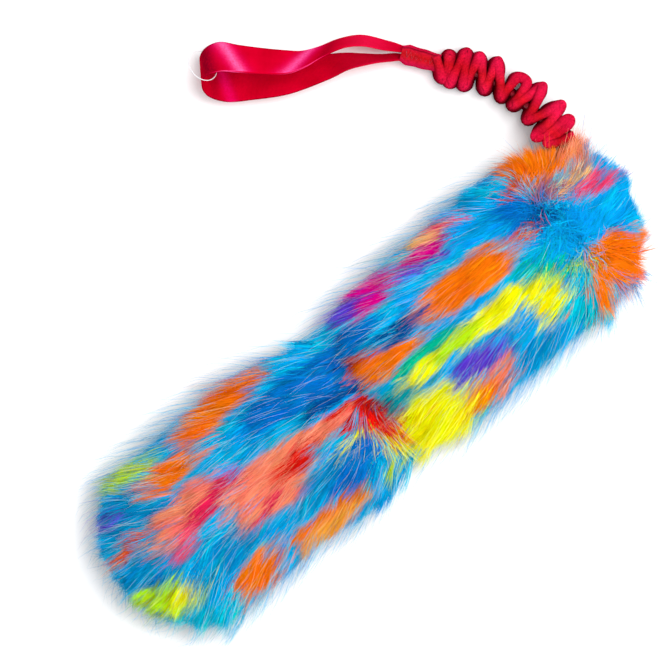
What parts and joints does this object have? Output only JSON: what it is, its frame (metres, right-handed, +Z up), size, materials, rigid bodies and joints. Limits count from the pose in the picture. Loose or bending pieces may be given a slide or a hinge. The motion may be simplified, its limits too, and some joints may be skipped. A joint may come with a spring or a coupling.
{
  "type": "plush tug toy with bungee handle",
  "caption": "Long-pile plush tug tube with two stuffed lobes, a gathered webbing bungee and a webbing hand loop, lying on a surface.",
  "frame": {"origin": "centre of the toy's plan box, at the height of the surface that it lies on", "axes": "+Z up from the table; +Y towards the handle, across the surface; +X to the right with the handle's loop at the upper left"},
  "size_m": [0.3673, 0.3999, 0.06],
  "materials": {
    "plush": "long-pile faux fur, turquoise with orange, yellow, pink and purple patches",
    "wadding": "polyester fibre wadding",
    "squeaker": "soft milky plastic",
    "seam_thread": "spun polyester thread",
    "webbing": "satin ribbed polyester webbing",
    "webbing_thread": "bonded polyester thread",
    "elastic": "covered elastic cord",
    "nylon": "clear nylon thread"
  },
  "bodies": {
    "upper": {"fur_upper": "plush", "wadding_upper": "wadding", "squeaker_upper_bulb": "squeaker", "squeaker_upper_reed": "squeaker", "seam_upper_thread": "seam_thread", "waist_stitch": "seam_thread", "anchor_tail": "webbing", "anchor_stitch": "webbing_thread"},
    "lower": {"fur_lower": "plush", "wadding_lower": "wadding", "squeaker_lower_bulb": "squeaker", "squeaker_lower_reed": "squeaker", "seam_lower_thread": "seam_thread"},
    "anchor": {"anchor_tab": "webbing"},
    "bungee": {"bungee_core": "elastic", "bungee_sleeve": "webbing"},
    "handle": {"neck_wrap": "webbing", "neck_stitch": "webbing_thread", "handle_loop": "webbing", "tag_loop": "nylon"}
  },
  "joints": [
    {"name": "waist_fold", "type": "hinge", "parent": "upper", "child": "lower", "pos_m": [-0.00061, -0.04522, 0.027], "axis": [-0.6534, 0.757, 0], "range_deg": [0, 75]},
    {"name": "mouth_swing", "type": "hinge", "parent": "upper", "child": "anchor", "pos_m": [0.13139, 0.12171, 0.027], "axis": [0, 0, 1], "range_deg": [-80, 40]},
    {"name": "mouth_lift", "type": "hinge", "parent": "anchor", "child": "bungee", "pos_m": [0.13139, 0.12171, 0.027], "axis": [0.809, 0.5878, 0], "range_deg": [0, 80]},
    {"name": "bungee_stretch", "type": "slide", "parent": "bungee", "child": "handle", "axis": [-0.8285, 0.56, 0], "range_m": [0, 0.11], "stiffness_N_per_m": 350, "deforming": ["bungee_sleeve", "bungee_core"]}
  ]
}
